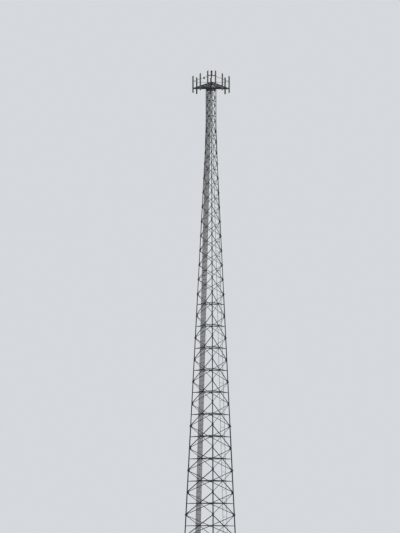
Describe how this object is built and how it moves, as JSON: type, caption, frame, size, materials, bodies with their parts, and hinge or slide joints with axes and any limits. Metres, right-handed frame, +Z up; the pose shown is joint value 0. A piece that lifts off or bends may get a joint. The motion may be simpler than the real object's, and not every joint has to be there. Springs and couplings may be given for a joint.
{
  "type": "self-supporting lattice radio mast, 1:2 scale model",
  "caption": "Free-standing three-legged lattice tower with crossed angle bracing, feeder ladders and a triangular antenna platform with a guard rail and a beacon.",
  "frame": {"origin": "middle of the underside of the front leg's base flange", "axes": "+Z up along the tower, +Y from the front leg towards the rear face, +X to the right seen from the front"},
  "size_m": [3.9082, 3.3846, 33.955],
  "materials": {
    "galvanised_steel": "weathered hot-dip galvanised, dark dull grey",
    "deck_mesh": "weathered galvanised wire mesh",
    "feeder_jacket": "black polyethylene jacket",
    "antenna_shell": "light grey weathered plastic radome",
    "unit_housing": "grey powder coat",
    "beacon_housing": "dark painted cast aluminium",
    "beacon_lens": "ribbed red glass"
  },
  "bodies": {
    "root": {"section_01_legs": "galvanised_steel", "section_02_legs": "galvanised_steel", "section_03_legs": "galvanised_steel", "section_04_legs": "galvanised_steel", "section_05_legs": "galvanised_steel", "section_06_legs": "galvanised_steel", "section_07_legs": "galvanised_steel", "section_08_legs": "galvanised_steel", "section_09_legs": "galvanised_steel", "section_10_legs": "galvanised_steel", "section_11_legs": "galvanised_steel", "section_01_bracing": "galvanised_steel", "section_02_bracing": "galvanised_steel", "section_03_bracing": "galvanised_steel", "section_04_bracing": "galvanised_steel", "section_05_bracing": "galvanised_steel", "section_06_bracing": "galvanised_steel", "section_07_bracing": "galvanised_steel", "section_08_bracing": "galvanised_steel", "section_09_bracing": "galvanised_steel", "section_10_bracing": "galvanised_steel", "section_11_bracing": "galvanised_steel", "gusset_plates": "galvanised_steel", "plan_bracing": "galvanised_steel", "feeder_ladder": "galvanised_steel", "spare_ladder": "galvanised_steel", "feeder_lines": "feeder_jacket", "platform_frame": "galvanised_steel", "platform_arms": "galvanised_steel", "platform_bearers": "galvanised_steel", "platform_deck": "deck_mesh", "leg_collar": "galvanised_steel", "top_bars": "galvanised_steel", "antenna_pipes": "galvanised_steel", "pipe_standoffs": "galvanised_steel", "guard_rail": "galvanised_steel", "panel_antennas": "antenna_shell", "antenna_brackets": "galvanised_steel", "radio_unit": "unit_housing", "leg_caps": "galvanised_steel", "beacon_post": "galvanised_steel", "beacon_housing": "beacon_housing", "beacon_lens": "beacon_lens", "junction_box": "unit_housing"}
  },
  "joints": []
}
